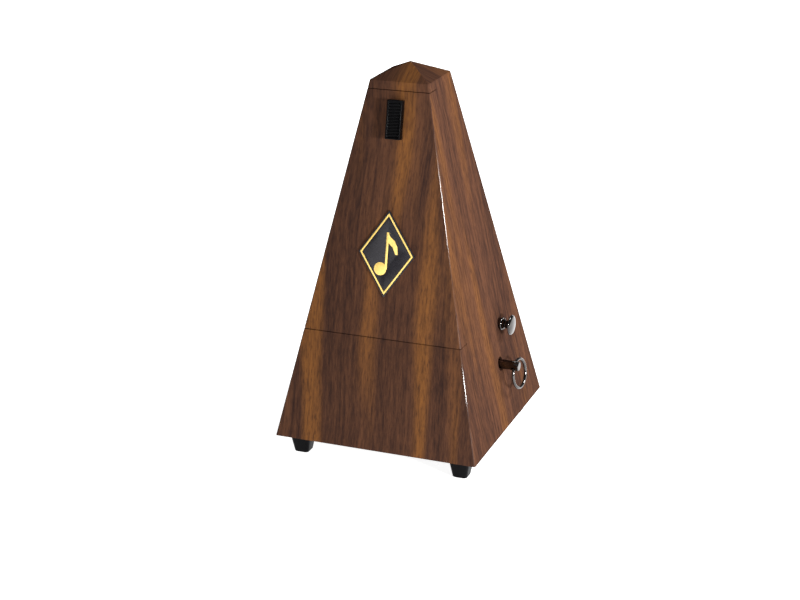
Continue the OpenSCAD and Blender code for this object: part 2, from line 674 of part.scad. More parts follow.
// Pull knob: a neck that opens into a domed face
module selector_knob() color([0.85, 0.85, 0.87]) placed()
    translate([knob_wall_x + 2.3, selector_at[0], selector_at[1]]) rotate([0, 90, 0])
    rotate_extrude() polygon(concat(
        [[selector_r, 0], [3.1, 0], [3.1, 0.7], [2.25, 1.2], [2.25, 2.6], [knob_d / 2 - 0.5, 4.0],
         [knob_d / 2, 4.5], [knob_d / 2, 5.3]],
        [for (a = [20:14:90]) [(knob_d / 2) * cos(a), 5.3 + (knob_out - 2.3 - 5.3) * sin(a)]],
        [[0, knob_out - 2.3], [0, 1.7], [selector_r, 1.7]]
    ));
module selector_collars() color("gold") placed() for (x = [hammer_x - 1 - 0.15 - 1.1, hammer_x + 1 + 0.15])
    difference() {
        bar(selector_at, x, 1.1, 2.6);
        bar(selector_at, x - 1, 4, selector_r);
    }
module bell_hammer() color("silver") placed() difference() {
    union() {
        bar(selector_at, hammer_x - 1, 2, 2.6);
        yz(hammer_x - 0.6, 1.2) polygon([
            [selector_at[0] - 1, selector_at[1] + 1.6], [-14, 61.6], [-23.4, 57.6],
            [-24.4, escape_at[1] + cam_r + cam_lobe + 0.4], [-23.4, escape_at[1] + cam_r + cam_lobe + 0.4],
            [-21.8, 56.2], [-14, 59.4], [selector_at[0] - 1, selector_at[1] - 1.6]
        ]);
        translate([hammer_x, selector_at[0], selector_at[1] - hammer_down])
            cylinder(h = hammer_down - 2, r = 0.6, $fn = 24);
        translate([hammer_x, selector_at[0], selector_at[1] - hammer_down]) sphere(r = hammer_r);
    }
    bar(selector_at, hammer_x - 2, 4, selector_r + fit);
}
// Return spring that sits beside the hammer's hub
module hammer_spring() color("silver") placed() translate([hammer_x - 2.9, selector_at[0], selector_at[1]])
    rotate([0, 90, 0]) difference() {
        cylinder(h = 0.5, r = 2.4);
        translate([0, 0, -1]) cylinder(h = 3, r = selector_r + fit);
    }
module bell() color([0.85, 0.86, 0.9]) placed() {
    step = 15;
    translate([bell_x, bell_at[0], bell_at[1]]) rotate([0, 90, 0]) rotate_extrude($fn = 96)
        polygon(concat(
            [[1.6, 0]],
            [for (a = [-90:step:0]) [bell_r - 5, 5] + polar(5, a)],
            [[bell_r, bell_l], [bell_r - bell_t, bell_l]],
            [for (a = [0:-step:-90]) [bell_r - 5, 5] + polar(5 - bell_t, a)],
            [[1.6, bell_t]]
        ));
}
module bell_stand() color("gray") placed() difference() {
    union() {
        translate([bell_x - 2, bell_at[0] - 4, z_floor]) cube([2, 8, bell_at[1] + 4 - z_floor]);
        translate([bell_x - 2 - 11, bell_at[0] - 4, z_floor]) cube([11.5, 8, 2]);
    }
    bar(bell_at, bell_x - 3, 4, 1.6);
    stand_screw_place() cylinder(h = 8, r = 1.1, center = true, $fn = 24);
}
module bell_screw() color("silver") placed() {
    bar(bell_at, bell_x - 2 - 1.6, 1.6, 2.6);
    bar(bell_at, bell_x - 2.5, 7.5, 1.5);
    stand_screw_place() translate([0, 0, 2]) cylinder(h = 1.2, r = 2, $fn = 32);
    stand_screw_place() translate([0, 0, -2.6]) cylinder(h = 4.7, r = 0.9, $fn = 24);
}
module bell_nut() color("gold") placed() difference() {
    translate([bell_x + bell_t, bell_at[0], bell_at[1]]) rotate([0, 90, 0]) cylinder(h = 2, r = 3, $fn = 6);
    bar(bell_at, bell_x, 6, 1.5);
}

case_shell();
base_plate();
foot_front_left();
foot_front_right();
foot_rear_left();
foot_rear_right();
foot_screws();
scale_board();
board_screws();
tempo_scale();
rod_clip();
front_cover();
badge_plate();
badge_trim();
cover_latch();
latch_tongue();
latch_spring();
movement_plate_left();
movement_plate_right();
plate_pillars();
plate_nuts();
movement_screws();
verge_bar();
verge_cock();
winding_arbor();
winding_key();
key_ring();
ratchet_wheel();
mainspring();
great_wheel();
click();
click_screw();
click_spring();
second_wheel();
second_pinion();
escape_wheel();
escape_pinion();
beat_cams();
verge();
pendulum_rod();
pendulum_bob();
sliding_weight();
weight_spring();
selector_bush();
selector_rod();
selector_knob();
selector_collars();
bell_hammer();
hammer_spring();
bell();
bell_stand();
bell_screw();
bell_nut();
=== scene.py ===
"""Pyramid metronome: finishes for every part, and the pieces whose shape is finer than the frame's.

Lengths are metres. +X is the winding key's side, +Y the back, +Z up.
"""
import json
import math

import bmesh
import bpy
from mathutils import Matrix, Vector


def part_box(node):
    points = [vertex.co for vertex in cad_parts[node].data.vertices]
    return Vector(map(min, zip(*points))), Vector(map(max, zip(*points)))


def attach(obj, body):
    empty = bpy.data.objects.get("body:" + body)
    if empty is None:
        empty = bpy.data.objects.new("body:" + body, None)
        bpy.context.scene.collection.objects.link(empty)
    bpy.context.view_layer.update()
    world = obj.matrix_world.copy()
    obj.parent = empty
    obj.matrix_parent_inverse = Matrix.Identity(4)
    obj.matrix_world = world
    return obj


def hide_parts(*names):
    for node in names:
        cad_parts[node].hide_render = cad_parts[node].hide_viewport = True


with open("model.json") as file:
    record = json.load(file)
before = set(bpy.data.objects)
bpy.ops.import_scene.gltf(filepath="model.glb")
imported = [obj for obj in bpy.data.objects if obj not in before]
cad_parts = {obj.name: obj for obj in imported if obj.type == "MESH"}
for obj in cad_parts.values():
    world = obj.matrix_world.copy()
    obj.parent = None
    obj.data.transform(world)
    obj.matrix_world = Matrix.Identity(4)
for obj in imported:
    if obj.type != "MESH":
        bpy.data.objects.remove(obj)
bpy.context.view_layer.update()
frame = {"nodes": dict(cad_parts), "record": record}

MM = 0.001
nodes = frame["nodes"]
body_of = {n: b for b, members in frame["record"]["behaviour"]["bodies"].items() for n in members}


# ---- The case's own lines ------------------------------------------------------------

CASE_LOW, CASE_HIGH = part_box("case_shell")
COVER_LOW, COVER_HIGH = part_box("front_cover")
CASE_X = (CASE_LOW.x + CASE_HIGH.x) / 2
BASE_HALF = (CASE_HIGH.x - CASE_LOW.x) / 2
BASE_Z = CASE_LOW.z
EAVE_HALF = 17.25 * MM
WALL_HEIGHT = 200 * MM
SLOPE = (BASE_HALF - EAVE_HALF) / WALL_HEIGHT
LEAN = math.atan(SLOPE)
EAVE_Z = BASE_Z + WALL_HEIGHT
COVER_DEPTH = 10 * MM


def half_width(z):
    """Half the width of the case at a height."""
    return BASE_HALF - SLOPE * (z - BASE_Z)


def front_place(z, proud=0.0):
    """Turns a flat piece, x across and y up, onto the front face at a height."""
    outward = Vector((0, -math.cos(LEAN), math.sin(LEAN)))
    at = Vector((CASE_X, -half_width(z), z)) + outward * proud
    return Matrix.Translation(at) @ Matrix.Rotation(math.pi / 2 - LEAN, 4, "X")


# ---- Working on meshes ---------------------------------------------------------------


def only(piece):
    """Selects one object and makes it the active one."""
    for other in list(bpy.context.selected_objects):
        other.select_set(False)
    piece.select_set(True)
    bpy.context.view_layer.objects.active = piece


def editing(piece):
    """Opens a piece in edit mode with nothing selected."""
    only(piece)
    bpy.ops.object.mode_set(mode="EDIT")
    bpy.ops.mesh.select_all(action="DESELECT")


def finished():
    """Closes edit mode."""
    bpy.ops.object.mode_set(mode="OBJECT")


def pick(piece, kind, test):
    """Selects the verts, edges or faces of a piece in edit mode that pass a test."""
    mesh = bmesh.from_edit_mesh(piece.data)
    bpy.context.tool_settings.mesh_select_mode = (kind == "verts", kind == "edges", kind == "faces")
    for face in mesh.faces:
        face.select_set(False)
    for edge in mesh.edges:
        edge.select_set(False)
    for vert in mesh.verts:
        vert.select_set(False)
    for item in getattr(mesh, kind):
        if test(item):
            item.select_set(True)
    mesh.select_flush_mode()
    bmesh.update_edit_mesh(piece.data)


def named(name):
    """The new active object, under its own name."""
    piece = bpy.context.object
    piece.name = name
    piece.data.name = name
    return piece


def settle(piece, place):
    """Puts a piece's place into its mesh, so that its object sits at the origin."""
    piece.data.transform(place)
    piece.matrix_world = Matrix.Identity(4)


def rounded(piece, width, segments=3, angle=30):
    """Rounds every sharp edge of a piece with an applied bevel, and smooths its faces."""
    only(piece)
    bevel = piece.modifiers.new("Rounding", "BEVEL")
    bevel.width = width
    bevel.segments = segments
    bevel.limit_method = "ANGLE"
    bevel.angle_limit = math.radians(angle)
    bpy.ops.object.modifier_apply(modifier=bevel.name)
    smooth(piece)


def smooth(piece, angle=32):
    """Shades a piece smooth, apart from edges sharper than an angle in degrees."""
    only(piece)
    bpy.ops.object.shade_smooth_by_angle(angle=math.radians(angle))


def twin(piece, name):
    """A copy of a piece under its own name, with its own mesh."""
    made = bpy.data.objects.new(name, piece.data.copy())
    made.data.name = name
    bpy.context.scene.collection.objects.link(made)
    return made


def block(name, size, middle):
    """A box of a size about a middle, ready to be shaped."""
    bpy.ops.mesh.primitive_cube_add(size=1)
    piece = named(name)
    piece.data.transform(Matrix.Diagonal((*size, 1)))
    piece.data.transform(Matrix.Translation(middle))
    return piece


def joined(pieces):
    """Joins pieces into the first of them."""
    only(pieces[0])
    for piece in pieces[1:]:
        piece.select_set(True)
    bpy.ops.object.join()
    return pieces[0]


def copy_of(node, name):
    """A merged copy of a frame node, with flat faces joined, ready to be refined."""
    piece = twin(nodes[node], name)
    only(piece)
    bpy.ops.mesh.customdata_custom_splitnormals_clear()
    editing(piece)
    bpy.ops.mesh.select_all(action="SELECT")
    bpy.ops.mesh.remove_doubles(threshold=0.002 * MM)
    bpy.ops.mesh.dissolve_limited(angle_limit=math.radians(0.4))
    finished()
    return piece


def fit(piece, material, slot, *stands_for, body=None):
    """Gives a piece its material and joins it to the frame; the slot is not used."""
    piece.data.materials.clear()
    piece.data.materials.append(material)
    if stands_for:
        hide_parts(*stands_for)
    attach(piece, body or body_of[stands_for[0]])
    return piece


# ---- Shader helpers ------------------------------------------------------------------


def tint(red, green, blue):
    """A colour from its 0-255 display values."""
    def linear(value):
        value /= 255
        return value / 12.92 if value <= 0.04045 else ((value + 0.055) / 1.055) ** 2.4
    return (linear(red), linear(green), linear(blue), 1.0)


class Sheet:
    """A node tree, with short calls that add a node and return its output."""

    def __init__(self, tree):
        self.tree = tree

    def add(self, kind, inputs=None, out=0, **settings):
        made = self.tree.nodes.new(kind)
        for key, value in settings.items():
            setattr(made, key, value)
        for key, value in (inputs or {}).items():
            if isinstance(value, bpy.types.NodeSocket):
                self.tree.links.new(value, made.inputs[key])
            else:
                made.inputs[key].default_value = value
        return made.outputs[out]

    def math(self, operation, *values):
        return self.add("ShaderNodeMath", dict(enumerate(values)), operation=operation)

    def mix(self, share, low, high):
        return self.add("ShaderNodeMix", {0: share, 6: low, 7: high}, out=2, data_type="RGBA")

    def blend(self, share, low, high):
        return self.add("ShaderNodeMix", {0: share, 2: low, 3: high})

    def noise(self, vector, scale, detail=2.0, rough=0.5):
        return self.add("ShaderNodeTexNoise", {"Vector": vector, "Scale": scale, "Detail": detail,
                                               "Roughness": rough})

    def vector(self, x, y, z):
        return self.add("ShaderNodeCombineXYZ", {0: x, 1: y, 2: z})

    def step(self, value, low, high):
        return self.add("ShaderNodeMapRange", {0: value, 1: low, 2: high, 3: 0.0, 4: 1.0},
                        interpolation_type="SMOOTHSTEP")


def new_group(name, takes, gives):
    """A shader node group with named sockets; returns its sheet, inputs and output node."""
    tree = bpy.data.node_groups.new(name, "ShaderNodeTree")
    for label, kind, value in takes:
        socket = tree.interface.new_socket(label, in_out="INPUT", socket_type=kind)
        socket.default_value = value
    for label, kind in gives:
        tree.interface.new_socket(label, in_out="OUTPUT", socket_type=kind)
    sheet = Sheet(tree)
    entry = tree.nodes.new("NodeGroupInput")
    leave = tree.nodes.new("NodeGroupOutput")
    return sheet, entry.outputs, leave


def use_group(sheet, group, **inputs):
    """Places a group in a material and returns its node."""
    made = sheet.tree.nodes.new("ShaderNodeGroup")
    made.node_tree = group
    for label, value in inputs.items():
        made.inputs[label.replace("_", " ")].default_value = value
    return made


FLOAT, COLOUR = "NodeSocketFloat", "NodeSocketColor"


def walnut_figure():
    """Walnut foil: growth bands that wander up each face, fibres, pores and tawny streaks."""
    sheet, take, leave = new_group(
        "Walnut Figure",
        [("Heart", COLOUR, tint(89, 59, 43)), ("Dark", COLOUR, tint(45, 32, 29)),
         ("Tawny", COLOUR, tint(124, 80, 42))],
        [("Color", COLOUR), ("Roughness", FLOAT), ("Height", FLOAT), ("Edge Gloss", FLOAT)])
    where = sheet.tree.nodes.new("ShaderNodeTexCoord")
    place = sheet.tree.nodes.new("ShaderNodeSeparateXYZ")
    facing = sheet.tree.nodes.new("ShaderNodeSeparateXYZ")
    sheet.tree.links.new(where.outputs["Object"], place.inputs[0])
    sheet.tree.links.new(where.outputs["Normal"], facing.inputs[0])
    x, y, z = place.outputs
    towards_x = sheet.math("ABSOLUTE", facing.outputs[0])
    towards_y = sheet.math("ABSOLUTE", facing.outputs[1])
    m = sheet.math

    def streaks(along, across_rate, up_rate, layer, detail=1.0, rough=0.5):
        """Noise drawn out up the face, with its changes per metre across and up."""
        stretched = sheet.vector(m("MULTIPLY", along, across_rate), layer, m("MULTIPLY", z, up_rate))
        return sheet.noise(stretched, 1.0, detail, rough)

    # Each face is cut from its own part of the sheet, and its grain stays upright on a leaning wall
    side = m("GREATER_THAN", towards_x, towards_y)
    front_cut, back_cut, left_cut, right_cut = 0.02, 0.57, 1.23, 0.452
    front = m("ADD", m("ADD", x, front_cut), m("MULTIPLY", m("GREATER_THAN", y, 0.0), back_cut))
    flank = m("ADD", m("ADD", y, left_cut), m("MULTIPLY", m("GREATER_THAN", x, 0.0), right_cut))
    across = sheet.blend(side, front, flank)
    wander = m("MULTIPLY", streaks(across, 9.0, 8.0, 0.0), 0.015)
    swerve = m("MULTIPLY", streaks(across, 40.0, 22.0, 3.0), 0.002)
    run = m("ADD", across, m("ADD", wander, swerve))
    broad = streaks(run, 84.0, 2.5, 0.0, 3.0, 0.6)
    fine = streaks(run, 380.0, 9.0, 1.0, 3.0, 0.6)
    fibre = streaks(run, 700.0, 85.0, 2.0, 3.0, 0.7)
    pores = sheet.step(streaks(run, 1350.0, 210.0, 5.0), 0.52, 0.72)
    broad_share, fine_share, fibre_share = 0.62, 0.42, 0.8
    tone = m("ADD", m("MULTIPLY", broad, broad_share), m("MULTIPLY", fine, fine_share))
    tone = m("ADD", tone, m("MULTIPLY", fibre, fibre_share))
    body = sheet.mix(sheet.step(tone, 0.62, 1.24), take["Dark"], take["Heart"])
    tawny = sheet.step(streaks(run, 52.0, 4.0, 7.0), 0.52, 0.68)
    tawny = m("MULTIPLY", tawny, m("ADD", 0.35, m("MULTIPLY", sheet.step(fibre, 0.3, 0.7), 0.55)))
    tawny = m("MULTIPLY", tawny, sheet.blend(side, 1.0, 0.6))
    colour = sheet.mix(tawny, body, take["Tawny"])
    colour = sheet.mix(m("MULTIPLY", pores, 0.45), colour, take["Dark"])
    height = m("SUBTRACT", m("MULTIPLY", fibre, 0.6), m("MULTIPLY", pores, 0.7))
    # The foil is polished where it wraps round an upright corner
    corner = sheet.step(m("MINIMUM", towards_x, towards_y), 0.35, 0.65)
    links = sheet.tree.links
    links.new(colour, leave.inputs["Color"])
    links.new(m("ADD", 0.42, m("MULTIPLY", fibre, 0.16)), leave.inputs["Roughness"])
    links.new(height, leave.inputs["Height"])
    links.new(m("MULTIPLY", corner, 0.3), leave.inputs["Edge Gloss"])
    return sheet.tree


def fine_texture():
    """A surface's small unevenness: tone, roughness and height vary at two scales."""
    sheet, take, leave = new_group(
        "Fine Texture",
        [("Light", COLOUR, (0.8, 0.8, 0.8, 1)), ("Deep", COLOUR, (0.6, 0.6, 0.6, 1)),
         ("Grain Size", FLOAT, 400.0), ("Stretch", FLOAT, 1.0), ("Rough Low", FLOAT, 0.2),
         ("Rough High", FLOAT, 0.4)],
        [("Color", COLOUR), ("Roughness", FLOAT), ("Height", FLOAT)])
    where = sheet.tree.nodes.new("ShaderNodeTexCoord")
    place = sheet.tree.nodes.new("ShaderNodeSeparateXYZ")
    sheet.tree.links.new(where.outputs["Object"], place.inputs[0])
    x, y, z = place.outputs
    m = sheet.math
    along = sheet.vector(m("MULTIPLY", x, take["Stretch"]), y, z)
    grain = sheet.noise(along, take["Grain Size"], 3.0, 0.6)
    cloud = sheet.noise(along, m("MULTIPLY", take["Grain Size"], 0.07), 2.0)
    links = sheet.tree.links
    shade = m("ADD", m("MULTIPLY", grain, 0.5), m("MULTIPLY", cloud, 0.5))
    colour = sheet.mix(sheet.step(shade, 0.35, 0.65), take["Deep"], take["Light"])
    links.new(colour, leave.inputs["Color"])
    links.new(sheet.blend(sheet.step(shade, 0.38, 0.62), take["Rough Low"], take["Rough High"]),
              leave.inputs["Roughness"])
    links.new(grain, leave.inputs["Height"])
    return sheet.tree


WALNUT = walnut_figure()
TEXTURE = fine_texture()


def material(name, group, bump, metallic=0.0, specular=0.5, **inputs):
    """A Principled material whose colour, roughness and bump come from a group."""
    made = bpy.data.materials.new(name)
    made.use_nodes = True
    sheet = Sheet(made.node_tree)
    shader = made.node_tree.nodes["Principled BSDF"]
    shader.inputs["Metallic"].default_value = metallic
    shader.inputs["Coat Roughness"].default_value = 0.12
    shader.inputs["Specular IOR Level"].default_value = specular
    effect = use_group(sheet, group, **inputs)
    sheet.tree.links.new(effect.outputs["Color"], shader.inputs["Base Color"])
    sheet.tree.links.new(effect.outputs["Roughness"], shader.inputs["Roughness"])
    if "Edge Gloss" in effect.outputs:
        sheet.tree.links.new(effect.outputs["Edge Gloss"], shader.inputs["Coat Weight"])
    relief = sheet.add("ShaderNodeBump", {"Height": effect.outputs["Height"], "Strength": bump[0],
                                          "Distance": bump[1] * MM})
    sheet.tree.links.new(relief, shader.inputs["Normal"])
    return made


def plain(name, light, deep, size, rough, bump=(0.15, 0.03), stretch=1.0, **more):
    """A material on the fine texture, from two display colours."""
    return material(name, TEXTURE, bump, Light=tint(*light), Deep=tint(*deep), Grain_Size=size,
                    Stretch=stretch, Rough_Low=rough[0], Rough_High=rough[1], **more)


walnut_foil = material("walnut_foil", WALNUT, (0.3, 0.04), specular=0.0)
latch_black = plain("latch_black", (7, 7, 8), (4, 4, 5), 900, (0.26, 0.38), specular=0.06)
foot_black = plain("foot_black", (7, 7, 8), (4, 4, 5), 700, (0.3, 0.42), specular=0.06)
base_black = plain("base_black", (46, 42, 41), (30, 28, 28), 600, (0.5, 0.65), bump=(0.3, 0.06))
badge_enamel = plain("badge_enamel", (31, 29, 34), (28, 26, 31), 500, (0.24, 0.30), specular=0.35)
stamped_gold = plain("stamped_gold", (252, 219, 128), (240, 202, 104), 900, (0.3, 0.42),
                     metallic=0.25)
# This nickel is painted much darker than the bell's nickel. The darker colour is painted shade that
# stands in for the dark room it reflects.
shaded_nickel = plain("shaded_nickel", (104, 101, 100), (82, 80, 79), 300, (0.05, 0.1), bump=(0.05, 0.01),
               metallic=1.0)
bell_nickel = plain("bell_nickel", (206, 206, 208), (188, 188, 192), 200, (0.12, 0.24), metallic=1.0)
bright_steel = plain("bright_steel", (172, 172, 174), (158, 158, 161), 900, (0.2, 0.3),
                     bump=(0.05, 0.01), stretch=0.2, metallic=1.0)
brushed_scale = plain("brushed_scale", (214, 210, 200), (192, 188, 178), 800, (0.3, 0.45), stretch=0.05,
                      metallic=0.7)
blued_spring = plain("blued_spring", (74, 84, 120), (48, 54, 84), 300, (0.22, 0.36), metallic=1.0)
rolled_brass = plain("rolled_brass", (214, 178, 98), (186, 148, 74), 350, (0.2, 0.36), stretch=0.15,
                     metallic=1.0)
scale_ink = plain("scale_ink", (30, 28, 28), (20, 19, 19), 900, (0.5, 0.6))
board_card = plain("board_card", (66, 44, 34), (46, 31, 25), 500, (0.6, 0.8), bump=(0.3, 0.08))

FINISHES = {
    walnut_foil: ["case_shell", "front_cover"],
    latch_black: ["cover_latch"],
    foot_black: ["foot_front_left", "foot_front_right", "foot_rear_left", "foot_rear_right"],
    base_black: ["base_plate"],
    badge_enamel: ["badge_plate"],
    stamped_gold: ["badge_trim"],
    shaded_nickel: ["winding_key", "key_ring", "selector_knob", "selector_bush"],
    bell_nickel: ["bell"],
    bright_steel: ["foot_screws", "board_screws", "latch_tongue", "plate_pillars", "movement_screws",
                   "winding_arbor", "ratchet_wheel", "click", "second_pinion", "escape_pinion", "verge",
                   "pendulum_rod", "selector_rod", "bell_hammer", "bell_screw", "bell_stand",
                   "sliding_weight"],
    blued_spring: ["latch_spring", "click_spring", "mainspring", "weight_spring", "hammer_spring"],
    rolled_brass: ["rod_clip", "movement_plate_left", "movement_plate_right", "plate_nuts", "verge_bar",
                   "verge_cock", "great_wheel", "click_screw", "second_wheel", "escape_wheel",
                   "beat_cams", "pendulum_bob", "selector_collars", "bell_nut"],
    board_card: ["scale_board"],
    brushed_scale: ["tempo_scale"],
}
for finish, members in FINISHES.items():
    for member in members:
        nodes[member].data.materials.clear()
        nodes[member].data.materials.append(finish)


# ---- Case and cover ------------------------------------------------------------------


def on_seam(point):
    """True for a point on the cover's rear or upper joint line."""
    depth = point.y + half_width(point.z)
    rear = abs(depth - COVER_DEPTH) < 1 * MM and point.z > COVER_LOW.z - 1 * MM
    return rear or abs(point.z - COVER_HIGH.z) < 0.8 * MM


def skin_edges(edge):
    """True for a sharp edge on the outer skin of the pyramid, away from the cover's fine joints."""
    if len(edge.link_faces) != 2 or edge.calc_face_angle(0.0) < math.radians(18):
        return False
    if all(on_seam(vert.co) for vert in edge.verts):
        return False
    for vert in edge.verts:
        x, y, z = abs(vert.co.x - CASE_X), abs(vert.co.y), vert.co.z
        if z <= EAVE_Z + 0.05 * MM:
            if max(x, y) < half_width(z) - 0.08 * MM:
                return False
        elif z < EAVE_Z - 1 * MM:
            return False
    return True


def softened(node, name, offset):
    """A case moulding with the edges of its outer skin rounded."""
    piece = copy_of(node, name)
    editing(piece)
    pick(piece, "edges", skin_edges)
    bpy.ops.mesh.bevel(offset=offset, offset_type="OFFSET", segments=3, affect="EDGES",
                       clamp_overlap=True)
    finished()
    smooth(piece, 25)
    return fit(piece, walnut_foil, "walnut_foil", node)


softened("case_shell", "case_moulding", 0.25 * MM)
softened("front_cover", "cover_moulding", 0.2 * MM)


# ---- Latch ---------------------------------------------------------------------------


def thumb_latch():
    """Ribbed block on the cover, with a rounded rim round its field of ribs."""
    low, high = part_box("cover_latch")
    width = high.x - low.x
    proud, foot_gap = 4.5 * MM, 0.1 * MM
    length = (high.z - low.z) / math.cos(LEAN) * 0.975
    middle_z = (low.z + high.z) / 2 - proud / 2 * math.sin(LEAN)
    rim, rim_draft, field_depth = 0.9 * MM, 0.15 * MM, 0.7 * MM
    piece = block("thumb_latch", (width, length, proud), (0, 0, proud / 2))
    editing(piece)
    pick(piece, "faces", lambda f: f.normal.z > 0.9)
    bpy.ops.mesh.inset(thickness=rim, depth=0)
    bpy.ops.mesh.inset(thickness=rim_draft, depth=-field_depth)
    finished()
    rounded(piece, 0.35 * MM)
    ribs, rib_height, rib_top = 11, 1.2 * MM, proud - 0.15 * MM
    pitch = (length - 3.2 * MM) / ribs
    rib_size = (width - 2.2 * MM, pitch * 0.62, rib_height)
    pattern = block("latch_rib", rib_size, (0, 0, rib_top - rib_height / 2))
    rounded(pattern, 0.28 * MM)
    bars = []
    for index in range(ribs):
        rib = twin(pattern, f"latch_rib_{index}")
        rib.data.transform(Matrix.Translation((0, (index - (ribs - 1) / 2) * pitch, 0)))
        bars.append(rib)
    bpy.data.objects.remove(pattern)
    piece = joined([piece, *bars])
    settle(piece, front_place(middle_z, foot_gap))
    smooth(piece)
    return fit(piece, latch_black, "black_plastic", "cover_latch")


thumb_latch()


# ---- Feet ----------------------------------------------------------------------------


def foot_shape(top, height):
    """Tapered square foot with rounded corners, a soft lower edge and a counterbore for its screw."""
    tip, soft, corner_round = 8.5 * MM, 0.8 * MM, 1.9 * MM
    bore_radius, bore_depth = 2.7 * MM, 4 * MM
    width = tip + (top - tip) * soft / height
    piece = block("foot_shape", (top, top, height - soft), (0, 0, (height + soft) / 2))
    editing(piece)
    pick(piece, "verts", lambda v: v.co.z < height / 2)
    bpy.ops.transform.resize(value=(width / top, width / top, 1), center_override=(0, 0, 0))
    pick(piece, "edges", lambda e: abs(e.verts[0].co.z - e.verts[1].co.z) > height / 2)
    bpy.ops.mesh.bevel(offset=corner_round, segments=6, affect="EDGES")
    pick(piece, "faces", lambda f: f.normal.z < -0.9)
    steps = 4
    drawn, dropped = 0.0, 0.0
    for index in range(1, steps + 1):
        angle = math.radians(90 * index / steps)
        inward, down = soft * (1 - math.cos(angle)), soft * math.sin(angle)
        ratio = (width - 2 * inward) / (width - 2 * drawn)
        bpy.ops.mesh.extrude_region_move(TRANSFORM_OT_translate={"value": (0, 0, dropped - down)})
        bpy.ops.transform.resize(value=(ratio, ratio, 1), center_override=(0, 0, 0))
        drawn, dropped = inward, down
    finished()
    bpy.ops.mesh.primitive_cylinder_add(vertices=48, radius=bore_radius, depth=2 * bore_depth)
    cutter = named("counterbore_cutter")
    only(piece)
    bore = piece.modifiers.new("Counterbore", "BOOLEAN")
    bore.object = cutter
    bpy.ops.object.modifier_apply(modifier=bore.name)
    bpy.data.objects.remove(cutter)
    smooth(piece)
    return piece


def feet():
    """Four feet from one shape, each under its own corner."""
    low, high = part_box("foot_front_left")
    pattern = foot_shape(high.x - low.x, high.z - low.z)
    for corner in ("front_left", "front_right", "rear_left", "rear_right"):
        low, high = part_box(f"foot_{corner}")
        piece = twin(pattern, f"{corner}_foot")
        settle(piece, Matrix.Translation(((low.x + high.x) / 2, (low.y + high.y) / 2, 0)))
        fit(piece, foot_black, "black_plastic", f"foot_{corner}")
    bpy.data.objects.remove(pattern)


feet()


# ---- Key ring, key shaft and pull knob -------------------------------------------------


def turned(name, outline, at, steps=64):
    """Spins an outline of (distance along X, radius) points about the X axis at a place."""
    bpy.ops.mesh.primitive_plane_add(size=1)
    piece = named(name)
    mesh = bmesh.new()
    verts = [mesh.verts.new((along, 0, radius)) for along, radius in outline]
    for first, second in zip(verts, verts[1:]):
        mesh.edges.new((first, second))
    mesh.to_mesh(piece.data)
    mesh.free()
    editing(piece)
    bpy.ops.mesh.select_all(action="SELECT")
    bpy.ops.mesh.spin(steps=steps, angle=2 * math.pi, center=(0, 0, 0), axis=(1, 0, 0))
    bpy.ops.mesh.select_all(action="SELECT")
    bpy.ops.mesh.remove_doubles(threshold=0.004 * MM)
    bpy.ops.mesh.normals_make_consistent(inside=False)
    finished()
    settle(piece, Matrix.Translation(at))
    smooth(piece, 40)
    return piece


def arc(middle, radius, start, stop, steps):
    """Points of (along, radius) on a round stretch, angles in degrees from the X axis."""
    points = []
    for index in range(steps + 1):
        angle = math.radians(start + (stop - start) * index / steps)
        points.append((middle[0] + radius * math.cos(angle), middle[1] + radius * math.sin(angle)))
    return points


# The knob's neck, from the bush outwards: (distance along, radius) in millimetres
KNOB_NECK = [(0, 1.55), (0, 2.9), (0.15, 3.1), (0.7, 3.1), (1.05, 2.6), (1.5, 2.25), (2.3, 2.3),
             (3.0, 2.9), (3.7, 4.3)]


def side_fitting(node):
    """Where a turned part on the right wall starts, its radius and its length."""
    low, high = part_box(node)
    start = Vector((low.x, (low.y + high.y) / 2, (low.z + high.z) / 2))
    return start, (high.z - low.z) / 2, high.x - low.x


def pull_knob():
    """Mushroom knob: a waisted neck under a rolled rim and a domed face."""
    start, radius, length = side_fitting("selector_knob")
    rim, rim_at, crown_at = 0.55 * MM, 4.5 * MM, 5.1 * MM
    outline = [(along * MM, out * MM) for along, out in KNOB_NECK]
    outline += arc((rim_at, radius - rim), rim, 110, 20, 8)
    rise, steps = length - crown_at, 10
    for index in range(1, steps):
        angle = math.radians(90 * index / steps)
        outline.append((crown_at + rise * math.sin(angle), (radius - 0.1 * MM) * math.cos(angle)))
    outline.append((length, 0.0))
    return fit(turned("pull_knob", outline, start), shaded_nickel, "chrome", "selector_knob")


def wall_bush():
    """Flanged bush that the selector rod slides through."""
    start, radius, length = side_fitting("selector_bush")
    bore, barrel, flange, edge = 1.6 * MM, 2.9 * MM, 1.25 * MM, 0.45 * MM
    outline = [(0, bore), (0, barrel), (length - flange, barrel), (length - flange, radius)]
    outline += arc((length - edge, radius - edge), edge, 90, 0, 6)
    outline += [(length, bore), (0, bore)]
    return fit(turned("wall_bush", outline, start), shaded_nickel, "chrome", "selector_bush")


pull_knob()
wall_bush()


